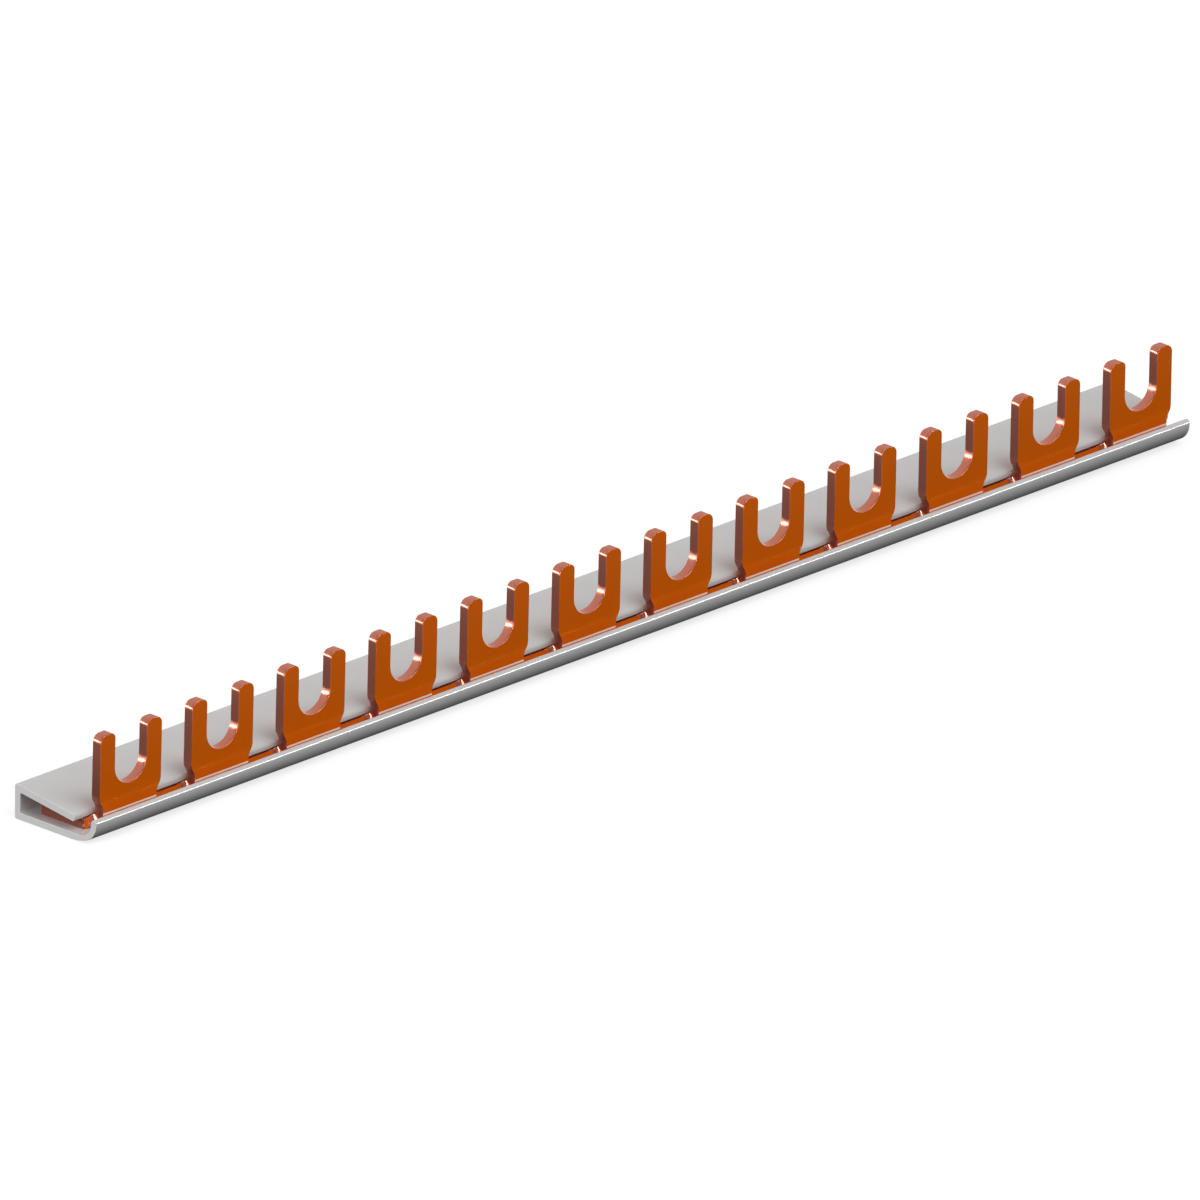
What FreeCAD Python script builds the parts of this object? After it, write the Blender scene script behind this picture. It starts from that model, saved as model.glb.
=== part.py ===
import FreeCAD, Part
import math
import os

# Comb busbar for a row of modular circuit breakers, in millimetres.
# One copper comb lies in one open plastic profile.
# X runs along the row, Y points to the closed back, Z points up from the base.
# The origin is under the middle of the object, in the plane of the flat base.

# Row of forks
fork_count = 12
pitch = 17.8
comb_end = 6.91
left_end_gap = 1.8
right_end_gap = 0.58

# Copper sheet and its flat strip
sheet = 1.55
strip_width = 8.43
strip_corner = 0.28

# Bend between the strip and a fork
bend_radius = 0.9
bend_setback = 0.45
fork_lean = 1.75
root_radius = 1.5

# Fork, measured from the end of the bend along its own face
fork_height = 11.61
head_width = 11.9
neck_width = 10.38
knee_height = 1.44
knee_radius = 2.0
slot_width = 6.15
slot_depth = 8.27
prong_outer_radius = 1.1
prong_inner_radius = 0.9

# Plastic profile
wall = 1.05
back_height = 5.24
lip_wall = 1.0
lip_height = 3.9
lip_rise = 0.35
rise_run = 2.25
back_top_corner = 0.45
back_base_corner = 0.35
pocket_corner = 0.3
roof_edge = 0.4

# Clearances between the comb and the profile
strip_back_gap = 2.12
roof_over_strip = 0.045
roof_to_fork = 0.55
fork_to_lip = 1.2

# Places that follow from the sizes above, as distances forward of the back face
strip_back = wall + strip_back_gap
strip_front = strip_back + strip_width
bend_outer = bend_radius + sheet
bend_axis = strip_front - bend_setback
fork_back = bend_axis + bend_radius
profile_depth = bend_axis + bend_outer + fork_to_lip + lip_wall
roof_front = fork_back - roof_to_fork

strip_top = wall + sheet
bend_axis_height = wall + bend_outer
bend_end = 90 - fork_lean

comb_length = (fork_count - 1) * pitch + 2 * comb_end
profile_length = left_end_gap + comb_length + right_end_gap
comb_left = left_end_gap - profile_length / 2

# The root fillets take up this much of the bend, in degrees
neutral_radius = bend_radius + sheet / 2
root_end = math.degrees((bend_setback + root_radius) / neutral_radius)
root_end = min(root_end, bend_end - 1)
root_steps = 6
punch_overrun = 5


def at(x, forward, height):
    """Point at a distance forward of the back face and a height above the base."""
    return FreeCAD.Vector(x, profile_depth / 2 - forward, height)


def line(start, end):
    return Part.LineSegment(start, end).toShape()


def arc(x, centre, radius, start, end):
    """Arc across the row, with angles in degrees from forward towards up."""
    points = []
    for angle in (start, (start + end) / 2, end):
        turn = math.radians(angle)
        forward = centre[0] + radius * math.cos(turn)
        height = centre[1] + radius * math.sin(turn)
        points.append(at(x, forward, height))
    return Part.Arc(*points).toShape()


def face_of(edges):
    return Part.Face(Part.Wire(Part.__sortEdges__(edges)))


def rounded_face(corners, place):
    """Face inside a polygon of (across, up, radius) corners, each rounded by its radius."""
    starts = []
    edges = []
    count = len(corners)
    for index, (across, up, radius) in enumerate(corners):
        here = FreeCAD.Vector(across, up, 0)
        before = FreeCAD.Vector(*corners[index - 1][:2], 0) - here
        after = FreeCAD.Vector(*corners[(index + 1) % count][:2], 0) - here
        before.normalize()
        after.normalize()
        if radius == 0:
            starts.append((here, here))
            continue
        half_angle = before.getAngle(after) / 2
        reach = radius / math.tan(half_angle)
        inward = before + after
        inward.normalize()
        centre = here + inward * (radius / math.sin(half_angle))
        first = here + before * reach
        last = here + after * reach
        middle = centre - inward * radius
        edges.append(Part.Arc(place(first), place(middle), place(last)).toShape())
        starts.append((first, last))
    for index in range(count):
        last = starts[index][1]
        first = starts[(index + 1) % count][0]
        if (first - last).Length > 1e-6:
            edges.append(line(place(last), place(first)))
    return face_of(edges)


def profile():
    """Extruded channel: flat base, rolled lip in front, closed back and sloping roof."""
    left = -profile_length / 2

    # The lip is round outside and inside, and its two centres stand at one height.
    lip_centre = lip_height - lip_wall / 2
    lip_outer = lip_centre - lip_rise
    lip_outer_axis = profile_depth - lip_outer
    lip_inner = lip_centre - wall
    lip_inner_axis = profile_depth - lip_wall - lip_inner

    # A large arc lifts the base from flat to the lip, and touches both.
    base_end = lip_outer_axis - rise_run
    rise_radius = (rise_run ** 2 + lip_centre ** 2 - lip_outer ** 2) / (2 * lip_rise)
    rise_turn = math.degrees(math.asin(rise_run / (rise_radius - lip_outer)))
    rise_stop = -90 + rise_turn

    # The roof slopes so that its underside ends just over the strip.
    room = back_height - strip_top - roof_over_strip
    slope = math.acos(wall / math.hypot(room, roof_front)) - math.atan2(roof_front, room)
    thickness = FreeCAD.Vector(0, math.sin(slope), math.cos(slope)) * wall
    fall = math.tan(slope)
    inner_top = back_height - wall / math.cos(slope) - wall * fall

    back_base = at(left, 0, 0)
    base_front = at(left, base_end, 0)
    floor_front = at(left, lip_inner_axis, wall)
    floor_back = at(left, wall, wall)
    under_back = at(left, wall, inner_top)
    under_front = at(left, roof_front, strip_top + roof_over_strip)
    top_front = under_front + FreeCAD.Vector(0, -thickness.y, thickness.z)
    top_back = at(left, 0, back_height)

    edges = [
        line(back_base, base_front),
        arc(left, (base_end, rise_radius), rise_radius, -90, rise_stop),
        arc(left, (lip_outer_axis, lip_centre), lip_outer, rise_stop, 0),
        arc(left, (profile_depth - lip_wall / 2, lip_centre), lip_wall / 2, 0, 180),
        arc(left, (lip_inner_axis, lip_centre), lip_inner, 0, -90),
        line(floor_front, floor_back),
        line(floor_back, under_back),
        line(under_back, under_front),
        line(under_front, top_front),
        line(top_front, top_back),
        line(top_back, back_base),
    ]
    solid = face_of(edges).extrude(FreeCAD.Vector(profile_length, 0, 0))

    rounds = [
        (back_base, back_base_corner),
        (top_back, back_top_corner),
        (floor_back, pocket_corner),
        (under_back, pocket_corner),
        (under_front, roof_edge),
        (top_front, roof_edge),
    ]
    for corner, radius in rounds:
        edge = long_edge(solid, corner)
        solid = solid.makeFillet(radius, [edge])
    return solid


def long_edge(solid, corner):
    """The edge along the row that starts at this corner of the section."""
    end = corner + FreeCAD.Vector(profile_length, 0, 0)
    for edge in solid.Edges:
        ends = [vertex.Point for vertex in edge.Vertexes]
        if len(ends) == 2 and all(min(p.distanceToPoint(q) for q in ends) < 1e-4 for p in (corner, end)):
            return edge
    raise ValueError("the section has no edge at this corner")


def on_bend(x, radius, angle):
    """Point on the bend, turned from the strip (0) towards the fork (90)."""
    turn = math.radians(angle)
    forward = bend_axis + radius * math.sin(turn)
    return at(x, forward, bend_axis_height - radius * math.cos(turn))


def across_bend(x, inner, outer, spare):
    """Both ends of a cut through the bend, each carried past its surface by spare."""
    first = on_bend(x, bend_radius, inner)
    last = on_bend(x, bend_outer, outer)
    way = last - first
    way.normalize()
    return first - way * spare, last + way * spare


def gap_punch():
    """Punch for the gap beside a fork, bent with the sheet, about X = 0.

    It leaves a fillet at each neck: wide at the strip's front edge, closed up the bend.
    """
    spare = bend_radius / 2
    inner_start = math.degrees(math.asin(bend_setback / bend_radius))
    outer_start = math.degrees(math.asin(bend_setback / bend_outer))
    sections = []
    for step in range(root_steps + 2):
        turn = min(step / root_steps, 1) * math.pi / 2
        past = max(step - root_steps, 0) * punch_overrun
        half_width = (pitch - neck_width) / 2 - root_radius * (1 - math.sin(turn))
        share = 1 - math.cos(turn)
        inner = inner_start + (root_end - inner_start) * share + past
        outer = outer_start + (root_end - outer_start) * share + past
        upper_left, lower_left = across_bend(-half_width, inner, outer, spare)
        upper_right, lower_right = across_bend(half_width, inner, outer, spare)
        corners = [upper_left, upper_right, lower_right, lower_left, upper_left]
        sections.append(Part.makePolygon(corners))
    return Part.makeLoft(sections, True, False)


def flat_land():
    """Block over the strip's front edge between two forks, where the sheet stays flat."""
    width = pitch - neck_width - 2 * root_radius
    corner = at(-width / 2, strip_front, strip_top)
    return Part.makeBox(width, bend_setback, bend_radius, corner)


def fork_blade():
    """The flat fork: neck, knees, head and a round-bottomed slot between two prongs."""
    foot = on_bend(0, bend_outer, bend_end)
    lean = math.radians(fork_lean)
    up = FreeCAD.Vector(0, -math.sin(lean), math.cos(lean))
    behind = FreeCAD.Vector(0, math.cos(lean), math.sin(lean))

    def place(point):
        return foot + FreeCAD.Vector(point.x, 0, 0) + up * point.y

    # Each knee is two equal arcs that meet where the side changes from neck to head.
    half_head = head_width / 2
    half_neck = neck_width / 2
    half_slot = slot_width / 2
    knee_turn = math.acos(1 - (half_head - half_neck) / (2 * knee_radius))
    knee_half = knee_radius * math.tan(knee_turn / 2) * math.cos(knee_turn)
    slot_floor = fork_height - slot_depth

    right_side = [
        (half_neck, 0, 0),
        (half_neck, knee_height - knee_half, knee_radius),
        (half_head, knee_height + knee_half, knee_radius),
        (half_head, fork_height, prong_outer_radius),
        (half_slot, fork_height, prong_inner_radius),
        (half_slot, slot_floor, half_slot),
    ]
    left_side = [(-across, height, radius) for across, height, radius in reversed(right_side)]
    return rounded_face(right_side + left_side, place).extrude(behind * sheet)


def neck():
    """Last stretch of the bend, as wide as the neck, about X = 0."""
    left = -neck_width / 2
    centre = (bend_axis, bend_axis_height)
    edges = [
        line(on_bend(left, bend_outer, root_end), on_bend(left, bend_radius, root_end)),
        arc(left, centre, bend_radius, root_end - 90, bend_end - 90),
        line(on_bend(left, bend_radius, bend_end), on_bend(left, bend_outer, bend_end)),
        arc(left, centre, bend_outer, root_end - 90, bend_end - 90),
    ]
    return face_of(edges).extrude(FreeCAD.Vector(neck_width, 0, 0))


def strip():
    """The flat strip with the first stretch of the bend, before the gaps are punched."""
    left = comb_left
    centre = (bend_axis, bend_axis_height)
    back_bottom = at(left, strip_back, wall)
    back_top = at(left, strip_back, strip_top)
    edges = [
        line(back_bottom, at(left, bend_axis, wall)),
        arc(left, centre, bend_outer, -90, root_end - 90),
        line(on_bend(left, bend_outer, root_end), on_bend(left, bend_radius, root_end)),
        arc(left, centre, bend_radius, -90, root_end - 90),
        line(at(left, bend_axis, strip_top), back_top),
        line(back_top, back_bottom),
    ]
    return face_of(edges).extrude(FreeCAD.Vector(comb_length, 0, 0))


def blank_outline():
    """Block that holds the punched sheet and rounds the strip's four corners."""
    def place(point):
        return at(comb_left + point.x, strip_back + point.y, 0)

    corners = [
        (0, 0, strip_corner),
        (comb_length, 0, strip_corner),
        (comb_length, strip_width, strip_corner),
        (0, strip_width, strip_corner),
    ]
    tall = bend_axis_height + bend_outer
    block = rounded_face(corners, place).extrude(FreeCAD.Vector(0, 0, tall))
    necks = (fork_count - 1) * pitch + neck_width + 2 * root_radius
    corner = at(comb_left + (comb_length - necks) / 2, strip_front + bend_outer, 0)
    return block.fuse(Part.makeBox(necks, bend_outer, tall, corner))


def in_row(shape, count, first_x):
    """Copies of a shape at the forks' pitch."""
    copies = []
    for index in range(count):
        copy = shape.copy()
        copy.translate(FreeCAD.Vector(first_x + index * pitch, 0, 0))
        copies.append(copy)
    return copies


def comb():
    """Copper comb, punched from one sheet: a flat strip with a row of bent-up forks."""
    first_fork = comb_left + comb_end
    first_gap = first_fork - pitch / 2
    tools = in_row(gap_punch(), fork_count + 1, first_gap)
    tools += in_row(flat_land(), fork_count + 1, first_gap)
    punched = strip().cut(tools)

    punched = punched.common(blank_outline())

    forks = in_row(neck(), fork_count, first_fork)
    forks += in_row(fork_blade(), fork_count, first_fork)
    return punched.fuse(forks).removeSplitter()


os.makedirs("parts", exist_ok=True)
nodes = {
    "insulating_profile": profile(),
    "copper_comb": comb(),
}
for name, shape in nodes.items():
    print(name, shape.isValid(), len(shape.Solids), round(shape.Volume, 2), shape.BoundBox)
    shape.exportStep("parts/" + name + ".step")
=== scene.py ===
import bmesh
import bpy
import math
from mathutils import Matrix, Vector


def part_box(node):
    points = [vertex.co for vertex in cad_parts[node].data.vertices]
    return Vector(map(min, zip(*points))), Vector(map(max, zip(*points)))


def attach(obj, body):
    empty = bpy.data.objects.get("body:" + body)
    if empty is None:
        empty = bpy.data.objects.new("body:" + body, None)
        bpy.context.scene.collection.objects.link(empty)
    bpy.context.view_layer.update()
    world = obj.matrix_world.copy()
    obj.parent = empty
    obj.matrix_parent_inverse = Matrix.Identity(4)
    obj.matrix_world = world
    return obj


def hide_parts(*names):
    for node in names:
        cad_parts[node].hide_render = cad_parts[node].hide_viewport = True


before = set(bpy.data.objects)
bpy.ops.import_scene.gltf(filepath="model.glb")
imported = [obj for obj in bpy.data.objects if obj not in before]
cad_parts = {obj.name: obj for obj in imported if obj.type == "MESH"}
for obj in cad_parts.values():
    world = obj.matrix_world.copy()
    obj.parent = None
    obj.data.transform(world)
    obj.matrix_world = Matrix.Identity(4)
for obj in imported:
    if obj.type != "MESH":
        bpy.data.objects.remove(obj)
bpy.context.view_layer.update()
mm = 0.001

# Insulating profile: one length of light grey rigid PVC, drawn through a die and sawn square.
# Its section is a flat base, a rolled lip in front, a closed back and a roof that slopes
# down to just over the copper strip.
low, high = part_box("insulating_profile")
profile_left = low.x
profile_right = high.x
back_face = high.y
depth = high.y - low.y

wall = 1.05 * mm
back_height = 5.24 * mm
lip_wall = 1.0 * mm
lip_height = 3.9 * mm
lip_rise = 0.35 * mm
rise_run = 2.25 * mm
roof_front = 11.5 * mm
roof_underside = 2.645 * mm
back_top_corner = 0.45 * mm
back_base_corner = 0.35 * mm
pocket_corner = 0.3 * mm
roof_edge = 0.4 * mm
saw_corner = 0.05 * mm

same_place = 0.001 * mm
corner_reach = 0.01 * mm
end_facing = 0.9
smooth_angle = math.radians(35)
quarter = math.pi / 2
across = (1, 0, 0)


def start_point(name, place):
    """A new mesh with a single selected point, left in edit mode."""
    bpy.ops.object.select_all(action="DESELECT")
    bpy.ops.mesh.primitive_plane_add(size=1, location=place, enter_editmode=True)
    bpy.context.object.name = name
    bpy.context.object.data.name = name
    bpy.ops.mesh.select_mode(type="VERT")
    bpy.ops.mesh.merge(type="CENTER")
    return bpy.context.object


def pen(piece):
    """Place of the selected point, in the object's frame."""
    mesh = bmesh.from_edit_mesh(piece.data)
    point = next(v for v in mesh.verts if v.select)
    return piece.matrix_world @ point.co


def line_to(piece, place):
    """Draws a straight edge from the selected point."""
    bpy.ops.mesh.extrude_region_move(TRANSFORM_OT_translate={"value": place - pen(piece)})


def arc_about(centre, axis, turn, step=math.radians(3), fewest=4):
    """Draws an arc from the selected point, by the right-hand rule about axis."""
    steps = max(fewest, round(abs(turn) / step))
    bpy.ops.mesh.spin(steps=steps, angle=-turn, center=centre, axis=axis)


def pick(piece, kind, test):
    """Selects the points or faces that pass the test, and nothing else."""
    mesh = bmesh.from_edit_mesh(piece.data)
    bpy.ops.mesh.select_all(action="DESELECT")
    for item in getattr(mesh, kind):
        if test(item):
            item.select_set(True)
    mesh.select_flush_mode()
    bmesh.update_edit_mesh(piece.data)


def close_outline():
    """Joins the drawn line's ends and fills it with one face."""
    bpy.ops.mesh.select_all(action="SELECT")
    bpy.ops.mesh.remove_doubles(threshold=same_place)
    bpy.ops.mesh.edge_face_add()


def section(forward, height):
    """Place in the profile's left end, forward of the back face and above the base."""
    return Vector((profile_left, back_face - forward, height))


lip_centre = lip_height - lip_wall / 2
lip_outer = lip_centre - lip_rise
lip_inner = lip_centre - wall
lip_outer_axis = depth - lip_outer
lip_inner_axis = depth - lip_wall - lip_inner
base_end = lip_outer_axis - rise_run
rise_radius = (rise_run ** 2 + lip_centre ** 2 - lip_outer ** 2) / (2 * lip_rise)
rise_turn = math.asin(rise_run / (rise_radius - lip_outer))
room = back_height - roof_underside
slope = math.acos(wall / math.hypot(room, roof_front)) - math.atan2(roof_front, room)
pocket_top = back_height - wall / math.cos(slope) - wall * math.tan(slope)
back_base = section(0, 0)
roof_back = section(0, back_height)
pocket_base = section(wall, wall)
under_back = section(wall, pocket_top)
under_front = section(roof_front, roof_underside)
roof_tip = under_front + Vector((0, -math.sin(slope), math.cos(slope))) * wall

profile = start_point("profile", back_base)
line_to(profile, section(base_end, 0))
arc_about(section(base_end, rise_radius), across, -rise_turn)
arc_about(section(lip_outer_axis, lip_centre), across, rise_turn - quarter)
arc_about(section(depth - lip_wall / 2, lip_centre), across, -math.pi)
arc_about(section(lip_inner_axis, lip_centre), across, quarter)
for place in (pocket_base, under_back, under_front, roof_tip, roof_back, back_base):
    line_to(profile, place)
close_outline()

rounds = [
    (back_base, back_base_corner),
    (roof_back, back_top_corner),
    (pocket_base, pocket_corner),
    (under_back, pocket_corner),
    (under_front, roof_edge),
    (roof_tip, roof_edge),
]
for corner, radius in rounds:
    place = profile.matrix_world.inverted() @ corner
    pick(profile, "verts", lambda v: (v.co - place).length < corner_reach)
    bpy.ops.mesh.bevel(offset=radius, segments=8, affect="VERTICES")

bpy.ops.mesh.select_all(action="SELECT")
length = profile_right - profile_left
bpy.ops.mesh.extrude_region_move(TRANSFORM_OT_translate={"value": (length, 0, 0)})
bpy.ops.mesh.select_all(action="SELECT")
bpy.ops.mesh.normals_make_consistent(inside=False)
bpy.ops.mesh.select_mode(type="FACE")
pick(profile, "faces", lambda f: abs(f.normal.x) > end_facing)
bpy.ops.mesh.region_to_loop()
bpy.ops.mesh.bevel(offset=saw_corner, segments=2, affect="EDGES")
bpy.ops.object.mode_set(mode="OBJECT")


def finish_mesh(piece):
    """Object at the origin, smooth shading up to an angle, broad faces shaded flat."""
    bpy.ops.object.transform_apply(location=True, rotation=True, scale=True)
    bpy.ops.object.shade_smooth_by_angle(angle=smooth_angle)
    weighted = piece.modifiers.new("flat_faces", "WEIGHTED_NORMAL")
    weighted.keep_sharp = True
    bpy.ops.object.modifier_apply(modifier=weighted.name)


finish_mesh(profile)

# The die leaves fine lines along the length, and the compound is slightly cloudy.
pvc_grey = (0.66, 0.66, 0.656, 1)
pvc_cloud = (0.638, 0.638, 0.635, 1)
pvc_refraction = 1.53
pvc_gloss = 0.9
pvc_roughness = (0.285, 0.295)
die_lines_per_metre = 3000
die_line_stretch = (0.01, 1, 1)
die_line_depth = 0.004 * mm
die_line_relief = 0.12
clouds_per_metre = 60
cloud_stretch = (0.3, 1, 1)


def start_finish(name):
    """A new material, with its nodes, its links and its main shader."""
    finish = bpy.data.materials.new(name)
    finish.use_nodes = True
    tree = finish.node_tree
    return finish, tree.nodes, tree.links, tree.nodes["Principled BSDF"]


def noise(per_metre, stretch, detail=2):
    """Object-space noise on the material in hand, with features per metre and an axis stretch."""
    mapping = nodes.new("ShaderNodeMapping")
    mapping.inputs["Scale"].default_value = stretch
    links.new(places.outputs["Object"], mapping.inputs["Vector"])
    texture = nodes.new("ShaderNodeTexNoise")
    texture.inputs["Scale"].default_value = per_metre
    texture.inputs["Detail"].default_value = detail
    links.new(mapping.outputs["Vector"], texture.inputs["Vector"])
    return texture.outputs["Fac"]


def spread(value, start, end):
    """Maps a 0 to 1 value to a range."""
    ramp = nodes.new("ShaderNodeMapRange")
    ramp.inputs["To Min"].default_value = start
    ramp.inputs["To Max"].default_value = end
    links.new(value, ramp.inputs["Value"])
    return ramp.outputs["Result"]


def blend(value, first, second):
    """Mixes two colours, or two colour outputs, by a value."""
    mix = nodes.new("ShaderNodeMix")
    mix.data_type = "RGBA"
    links.new(value, mix.inputs["Factor"])
    for name, colour in (("A", first), ("B", second)):
        socket = next(i for i in mix.inputs if i.name == name and i.type == "RGBA")
        if isinstance(colour, tuple):
            socket.default_value = colour
        else:
            links.new(colour, socket)
    return next(o for o in mix.outputs if o.type == "RGBA")


def emboss(pattern, relief_depth, strength):
    """Gives the material in hand a fine relief that follows a pattern."""
    relief = nodes.new("ShaderNodeBump")
    relief.inputs["Distance"].default_value = relief_depth
    relief.inputs["Strength"].default_value = strength
    links.new(pattern, relief.inputs["Height"])
    links.new(relief.outputs["Normal"], shader.inputs["Normal"])


pvc, nodes, links, shader = start_finish("drawn_pvc")
places = nodes.new("ShaderNodeTexCoord")
shader.inputs["IOR"].default_value = pvc_refraction
shader.inputs["Specular IOR Level"].default_value = pvc_gloss
die_lines = noise(die_lines_per_metre, die_line_stretch)
cloud = noise(clouds_per_metre, cloud_stretch, detail=3)
links.new(blend(cloud, pvc_grey, pvc_cloud), shader.inputs["Base Color"])
links.new(spread(die_lines, *pvc_roughness), shader.inputs["Roughness"])
emboss(die_lines, die_line_depth, die_line_relief)
profile.data.materials.append(pvc)

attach(profile, "root")
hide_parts("insulating_profile")

# Copper comb: one strip of half-hard copper sheet. The gaps and slots are punched in the
# flat blank, the burrs are tumbled off, and then the forks are bent up along one line.
# It lies on the profile's floor, under the roof.
low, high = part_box("copper_comb")
comb_left = low.x
comb_right = high.x
strip_back = high.y
strip_bottom = low.z

sheet = 1.55 * mm
pitch = 17.8 * mm
fork_count = 12
first_fork = 6.91 * mm
strip_width = 8.43 * mm
strip_corner = 0.28 * mm
bend_radius = 0.9 * mm
strip_edge = 0.45 * mm
fork_lean = math.radians(1.75)
root_radius = 1.5 * mm
fork_height = 11.61 * mm
half_head = 11.9 * mm / 2
half_neck = 10.38 * mm / 2
knee_height = 1.44 * mm
knee_radius = 2.0 * mm
half_slot = 6.15 * mm / 2
slot_depth = 8.27 * mm
prong_outer = 1.1 * mm
prong_inner = 0.9 * mm
tumbled_edge = 0.04 * mm
tumbled_angle = math.radians(60)
bend_cuts = 32
up = (0, 0, 1)

bend_sweep = quarter - fork_lean
bend_line = strip_back - strip_width + strip_edge
neutral = bend_radius + sheet / 2
bend_length = neutral * bend_sweep
tip = bend_length + fork_height
slot_floor = tip - slot_depth
knee_turn = math.acos(1 - (half_head - half_neck) / (2 * knee_radius))
knee_half = knee_radius * math.sin(knee_turn)
knee_middle = bend_length + knee_height
knee_top = knee_middle + knee_half
knee_bottom = knee_middle - knee_half
root_end = strip_edge + root_radius
strip_end = strip_edge - strip_width


def blank(x, past):
    """Place on the blank's upper face: across from the first fork, and past the bend line."""
    return Vector((comb_left + first_fork + x, bend_line - past, strip_bottom + sheet))


comb = start_point("comb", blank(0, slot_floor))
arc_about(blank(0, slot_floor + half_slot), up, -quarter)
line_to(comb, blank(half_slot, tip - prong_inner))
arc_about(blank(half_slot + prong_inner, tip - prong_inner), up, quarter)
line_to(comb, blank(half_head - prong_outer, tip))
arc_about(blank(half_head - prong_outer, tip - prong_outer), up, quarter)
line_to(comb, blank(half_head, knee_top))
arc_about(blank(half_head - knee_radius, knee_top), up, knee_turn)
arc_about(blank(half_neck + knee_radius, knee_bottom), up, -knee_turn)
line_to(comb, blank(half_neck, root_end))
arc_about(blank(half_neck + root_radius, root_end), up, -quarter)
line_to(comb, blank(pitch / 2, strip_edge))
line_to(comb, blank(pitch / 2, strip_end))
line_to(comb, blank(0, strip_end))
bpy.ops.object.mode_set(mode="OBJECT")
other_half = comb.modifiers.new("other_half", "MIRROR")
other_half.merge_threshold = same_place
bpy.ops.object.modifier_apply(modifier=other_half.name)
bpy.ops.object.mode_set(mode="EDIT")
close_outline()
bpy.ops.object.mode_set(mode="OBJECT")

row = comb.modifiers.new("row", "ARRAY")
row.count = fork_count
row.use_relative_offset = False
row.use_constant_offset = True
row.constant_offset_displace = (pitch, 0, 0)
row.use_merge_vertices = True
row.merge_threshold = same_place
bpy.ops.object.modifier_apply(modifier=row.name)

bpy.ops.object.mode_set(mode="EDIT")
for end, outward in ((comb_left, -1), (comb_right, 1)):
    bpy.ops.mesh.select_all(action="SELECT")
    bpy.ops.mesh.bisect(plane_co=(end, 0, 0), plane_no=(outward, 0, 0), clear_outer=True)
bpy.ops.mesh.select_mode(type="VERT")
ends = [comb.matrix_world.inverted() @ Vector((end, 0, 0)) for end in (comb_left, comb_right)]
pick(comb, "verts", lambda v: min(abs(v.co.x - end.x) for end in ends) < same_place)
bpy.ops.mesh.bevel(offset=strip_corner, segments=6, affect="VERTICES")
bpy.ops.mesh.select_all(action="SELECT")
bpy.ops.mesh.extrude_region_move(TRANSFORM_OT_translate={"value": (0, 0, -sheet)})
bpy.ops.mesh.select_all(action="SELECT")
bpy.ops.mesh.normals_make_consistent(inside=False)
bpy.ops.mesh.select_mode(type="EDGE")
bpy.ops.mesh.select_all(action="DESELECT")
bpy.ops.mesh.edges_select_sharp(sharpness=tumbled_angle)
bpy.ops.mesh.bevel(offset=tumbled_edge, segments=3, affect="EDGES")
for cut in range(bend_cuts + 1):
    past = bend_length * cut / bend_cuts
    bpy.ops.mesh.select_all(action="SELECT")
    bpy.ops.mesh.bisect(plane_co=blank(0, past), plane_no=(0, 1, 0))
bpy.ops.object.mode_set(mode="OBJECT")
bpy.ops.object.transform_apply(location=True, rotation=True, scale=True)

# The bend is made point by point, because each gap's root fillet is bent with the sheet
# while the strip's front edge between two forks stays flat.
axis_height = strip_bottom + sheet + bend_radius
blend_width = 0.5 * mm


def bent(past, radius):
    """Place past the bend line, after bending, of a point at this radius from its axis."""
    start = math.asin(min(1, strip_edge / radius))
    if past < strip_edge:
        turn = start * past / strip_edge
    elif past < root_end:
        share = (past - strip_edge) / root_radius
        turn = start + (root_end / neutral - start) * share
    else:
        turn = min(past / neutral, bend_sweep)
    rest = max(0, past - bend_length)
    forward = radius * math.sin(turn) + rest * math.cos(turn)
    height = axis_height - radius * math.cos(turn) + rest * math.sin(turn)
    return forward, height


for vertex in comb.data.vertices:
    past = bend_line - vertex.co.y
    if past > 0:
        from_first = vertex.co.x - comb_left - first_fork
        from_fork = abs((from_first + pitch / 2) % pitch - pitch / 2)
        forward, height = bent(past, axis_height - vertex.co.z)
        flat = (from_fork - half_neck - root_radius) / blend_width + 1
        flat = min(1, max(0, flat))
        vertex.co.y = bend_line - forward * (1 - flat) - past * flat
        vertex.co.z = height * (1 - flat) + vertex.co.z * flat

finish_mesh(comb)

# The copper's colour is painted by the way each surface faces, as lit and shaded copies of one
# copper: faces turned to the front or back are painted a flat bright orange and kept mostly dull,
# faces turned sideways or down are painted a shaded brown, and the rounded tops, slot floors and
# the bend keep a pinker copper and shine. A thin pale line along each fork's foot is a painted
# highlight.
# The orange pair is the painted colour of front-lit faces, and the brown is painted shade on faces
# turned sideways or down.
front_facing_orange = (0.79, 0.143, 0.002, 1)
front_facing_deep = (0.75, 0.135, 0.002, 1)
skin_pink = (0.97, 0.335, 0.23, 1)
skin_dark = (0.9, 0.29, 0.195, 1)
side_shade_brown = (0.29, 0.096, 0.068, 1)
# Painted highlight: a pale peach band along each fork's foot, at one height, where the bend
# shines.
foot_highlight_peach = (1, 0.92, 0.78, 1)
foot_highlight_height = 3.3 * mm
foot_highlight_width = 0.3 * mm
copper_gloss = 0.04
copper_roughness = (0.16, 0.22)
front_facing_metallic = 0.15
side_and_under_dullness = 0.4
grains_per_metre = 9000
grain_stretch = (1, 1, 0.03)
grain_depth = 0.002 * mm
grain_relief = 0.1
tarnish_per_metre = 180
tarnish_stretch = (1, 1, 0.6)

# How far a surface faces along an axis, where its painted colour starts and where it is full.
faces_front = (0.9, 0.95)
faces_side = (0.985, 0.998)
faces_down = (-0.02, -0.1)


def component(vector, axis):
    """One coordinate of a vector output."""
    split = nodes.new("ShaderNodeSeparateXYZ")
    links.new(vector, split.inputs["Vector"])
    return split.outputs[axis]


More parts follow.
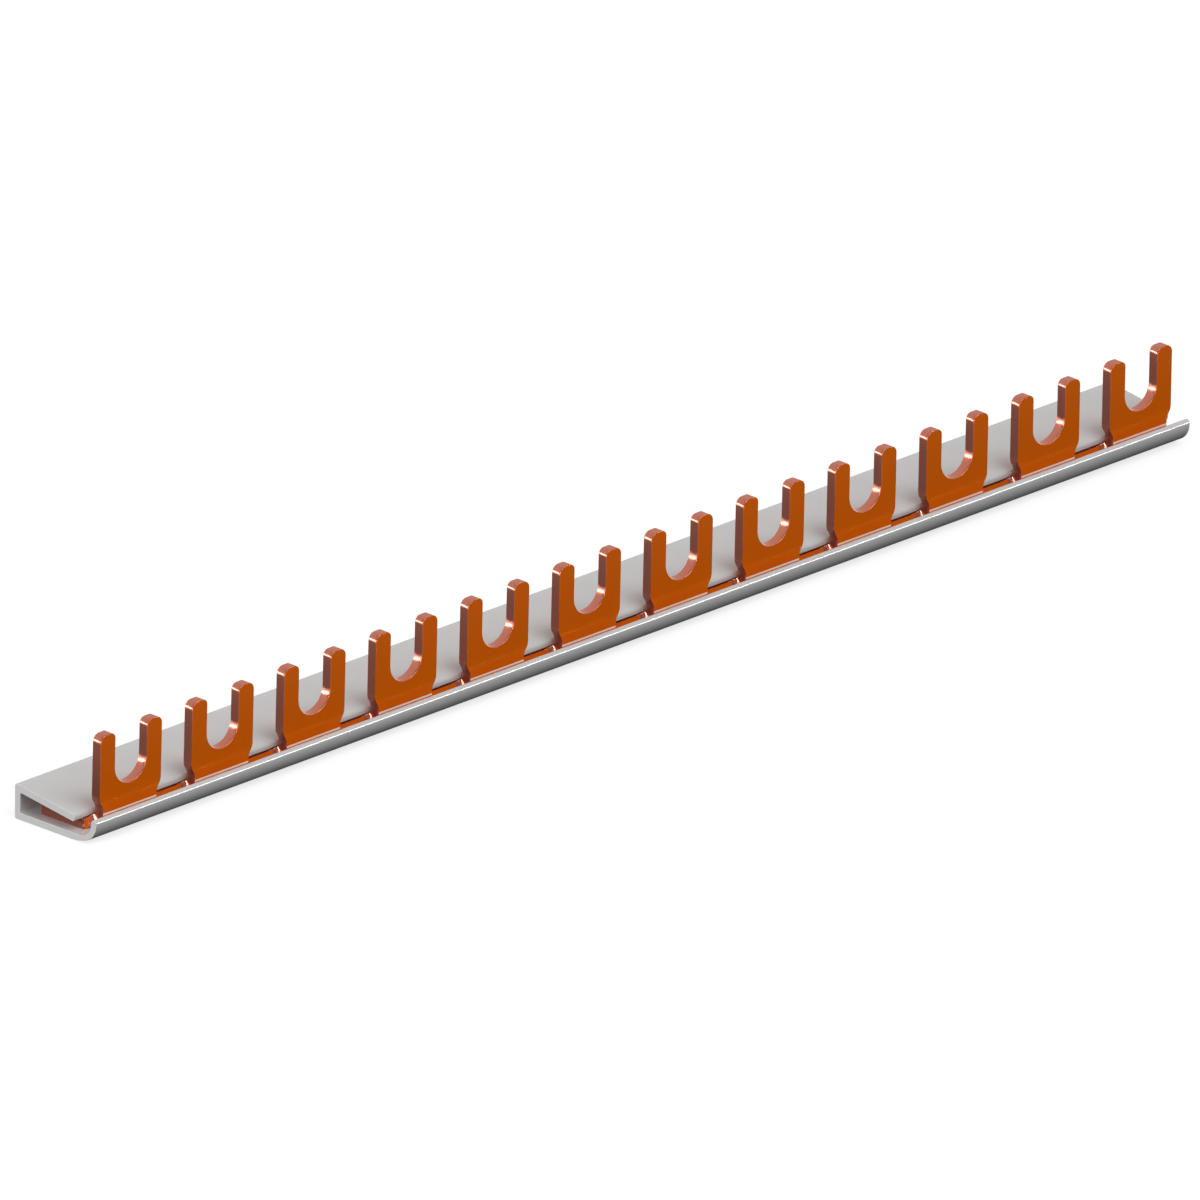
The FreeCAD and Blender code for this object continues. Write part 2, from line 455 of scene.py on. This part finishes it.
def calculate(operation, first, *numbers):
    """Result of a math node on an output and the numbers or output after it."""
    node = nodes.new("ShaderNodeMath")
    node.operation = operation
    links.new(first, node.inputs[0])
    for socket, number in zip(node.inputs[1:], numbers):
        if isinstance(number, float):
            socket.default_value = number
        else:
            links.new(number, socket)
    return node.outputs["Value"]


def between(value, start, full):
    """0 to 1 mask that rises as the value goes from start to full."""
    mask = nodes.new("ShaderNodeMapRange")
    mask.inputs["From Min"].default_value = start
    mask.inputs["From Max"].default_value = full
    links.new(value, mask.inputs["Value"])
    return mask.outputs["Result"]


copper, nodes, links, shader = start_finish("copper")
places = nodes.new("ShaderNodeTexCoord")
shader.inputs["Specular IOR Level"].default_value = copper_gloss
normal = places.outputs["Normal"]
# Facing masks for the painted light: front or back faces get the painted orange, faces turned
# sideways or down the painted shaded brown.
front_facing = between(calculate("ABSOLUTE", component(normal, "Y")), *faces_front)
flank = between(calculate("ABSOLUTE", component(normal, "X")), *faces_side)
under_head = between(component(normal, "Z"), *faces_down)
side_and_under_shade = calculate("MAXIMUM", flank, under_head)
level = component(places.outputs["Object"], "Z")
# The painted highlight band at the forks' foot, on front-facing faces only.
foot_highlight = calculate("MULTIPLY", calculate("COMPARE", level, foot_highlight_height, foot_highlight_width / 2), front_facing)
grain = noise(grains_per_metre, grain_stretch)
tarnish = noise(tarnish_per_metre, tarnish_stretch, detail=4)
orange = blend(tarnish, front_facing_orange, front_facing_deep)
skin = blend(tarnish, skin_pink, skin_dark)
edges = blend(side_and_under_shade, skin, side_shade_brown)
faces = blend(front_facing, edges, orange)
links.new(blend(foot_highlight, faces, foot_highlight_peach), shader.inputs["Base Color"])
# Faces with the painted side shade are also made less metallic.
dullness = calculate("MULTIPLY", side_and_under_shade, side_and_under_dullness)
metallic = calculate("SUBTRACT", spread(front_facing, 1, front_facing_metallic), dullness)
links.new(metallic, shader.inputs["Metallic"])
links.new(spread(grain, *copper_roughness), shader.inputs["Roughness"])
emboss(grain, grain_depth, grain_relief)
comb.data.materials.append(copper)

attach(comb, "root")
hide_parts("copper_comb")

# Floor: a wide plain sheet under the object, white to the camera, which keeps its shadow.
# Reflections see it white too, but close to the object they see it in the object's shade.
floor_size = 12
# To bounce light and to reflections close to the object the floor is this dark grey: painted
# shade.
shaded_paper = (0.08, 0.08, 0.08, 1)
paper_roughness = 0.9
paper_glow = 0.75
lit_paper = (0.35, 0.35, 0.35, 1)
shade_reach = (15 * mm, 60 * mm)

bpy.ops.object.select_all(action="DESELECT")
bpy.ops.mesh.primitive_plane_add(size=floor_size, location=(0, 0, 0))
floor = bpy.context.object
floor.name = "floor"
paper, nodes, links, shader = start_finish("paper")
shader.inputs["Base Color"].default_value = shaded_paper
shader.inputs["Roughness"].default_value = paper_roughness
shader.inputs["Specular IOR Level"].default_value = 0
white = nodes.new("ShaderNodeEmission")
white.inputs["Strength"].default_value = paper_glow
faint = nodes.new("ShaderNodeBsdfDiffuse")
faint.inputs["Color"].default_value = lit_paper
bright = nodes.new("ShaderNodeAddShader")
links.new(white.outputs["Emission"], bright.inputs[0])
links.new(faint.outputs["BSDF"], bright.inputs[1])
rays = nodes.new("ShaderNodeLightPath")
open_floor = between(rays.outputs["Ray Length"], *shade_reach)
reflected = calculate("MULTIPLY", open_floor, rays.outputs["Is Glossy Ray"])
seen = calculate("MAXIMUM", rays.outputs["Is Camera Ray"], rays.outputs["Is Transmission Ray"])
seen = calculate("MAXIMUM", seen, reflected)
choice = nodes.new("ShaderNodeMixShader")
links.new(seen, choice.inputs["Fac"])
links.new(shader.outputs["BSDF"], choice.inputs[1])
links.new(bright.outputs["Shader"], choice.inputs[2])
links.new(choice.outputs["Shader"], nodes["Material Output"].inputs["Surface"])
floor.data.materials.append(paper)

# Studio: even room light, a soft key above the front, a soft box on the left, a wide dim one
# behind, and two low ones: one at the right front, seen in reflections only, draws the lip's
# bright line, and one behind on the left lights the slots and the prongs' shoulders.
room_light = (0.22, 0.22, 0.22, 1)
world = bpy.data.worlds.new("studio")
bpy.context.scene.world = world
world.use_nodes = True
sky = world.node_tree.nodes["Background"]
sky.inputs["Color"].default_value = room_light
sky.inputs["Strength"].default_value = 1


def direction(azimuth, elevation):
    """Unit vector towards a place round the object, in degrees: 0 is in front, 90 on the right."""
    turn = math.radians(azimuth)
    rise = math.radians(elevation)
    level_part = Vector((math.sin(turn), -math.cos(turn), 0)) * math.cos(rise)
    return level_part + Vector((0, 0, math.sin(rise)))


def look_back(thing, away):
    """Turns a light or the camera to look back along a direction."""
    thing.rotation_euler = (-away).to_track_quat("-Z", "Y").to_euler()


def soft_box(name, azimuth, elevation, width, height, brightness, distance=2.5):
    """A rectangular soft light that faces the object. Its brightness is that of its surface."""
    away = direction(azimuth, elevation)
    bpy.ops.object.light_add(type="AREA", location=away * distance)
    light = bpy.context.object
    light.name = name
    light.data.shape = "RECTANGLE"
    light.data.size = width
    light.data.size_y = height
    light.data.energy = brightness * math.pi * width * height
    light.visible_camera = False
    look_back(light, away)
    return light


soft_box("key", azimuth=-5, elevation=50, width=2.2, height=2.2, brightness=2.85)
soft_box("left", azimuth=-88, elevation=15, width=1, height=1, brightness=9.5)
lip_light = soft_box("right", azimuth=40.5, elevation=2.4, width=0.3, height=0.2, brightness=145)
lip_light.visible_diffuse = False
soft_box("back", azimuth=170, elevation=32, width=9, height=3.2, brightness=0.3)
soft_box("left_back_low", azimuth=-131, elevation=4, width=1, height=0.25, brightness=14)

# Camera: a parallel view from the left front and a little above, as in the photograph. It is
# aimed just beside the middle of the object.
aim = Vector((-0.68 * mm, -0.23 * mm, 5 * mm))
view_width = 164.5 * mm
away = direction(azimuth=-45, elevation=21.57)
bpy.ops.object.camera_add(location=aim + away)
camera = bpy.context.object
camera.name = "camera"
camera.data.type = "ORTHO"
camera.data.ortho_scale = view_width
look_back(camera, away)
bpy.context.scene.camera = camera
bpy.context.scene.view_settings.view_transform = "Standard"
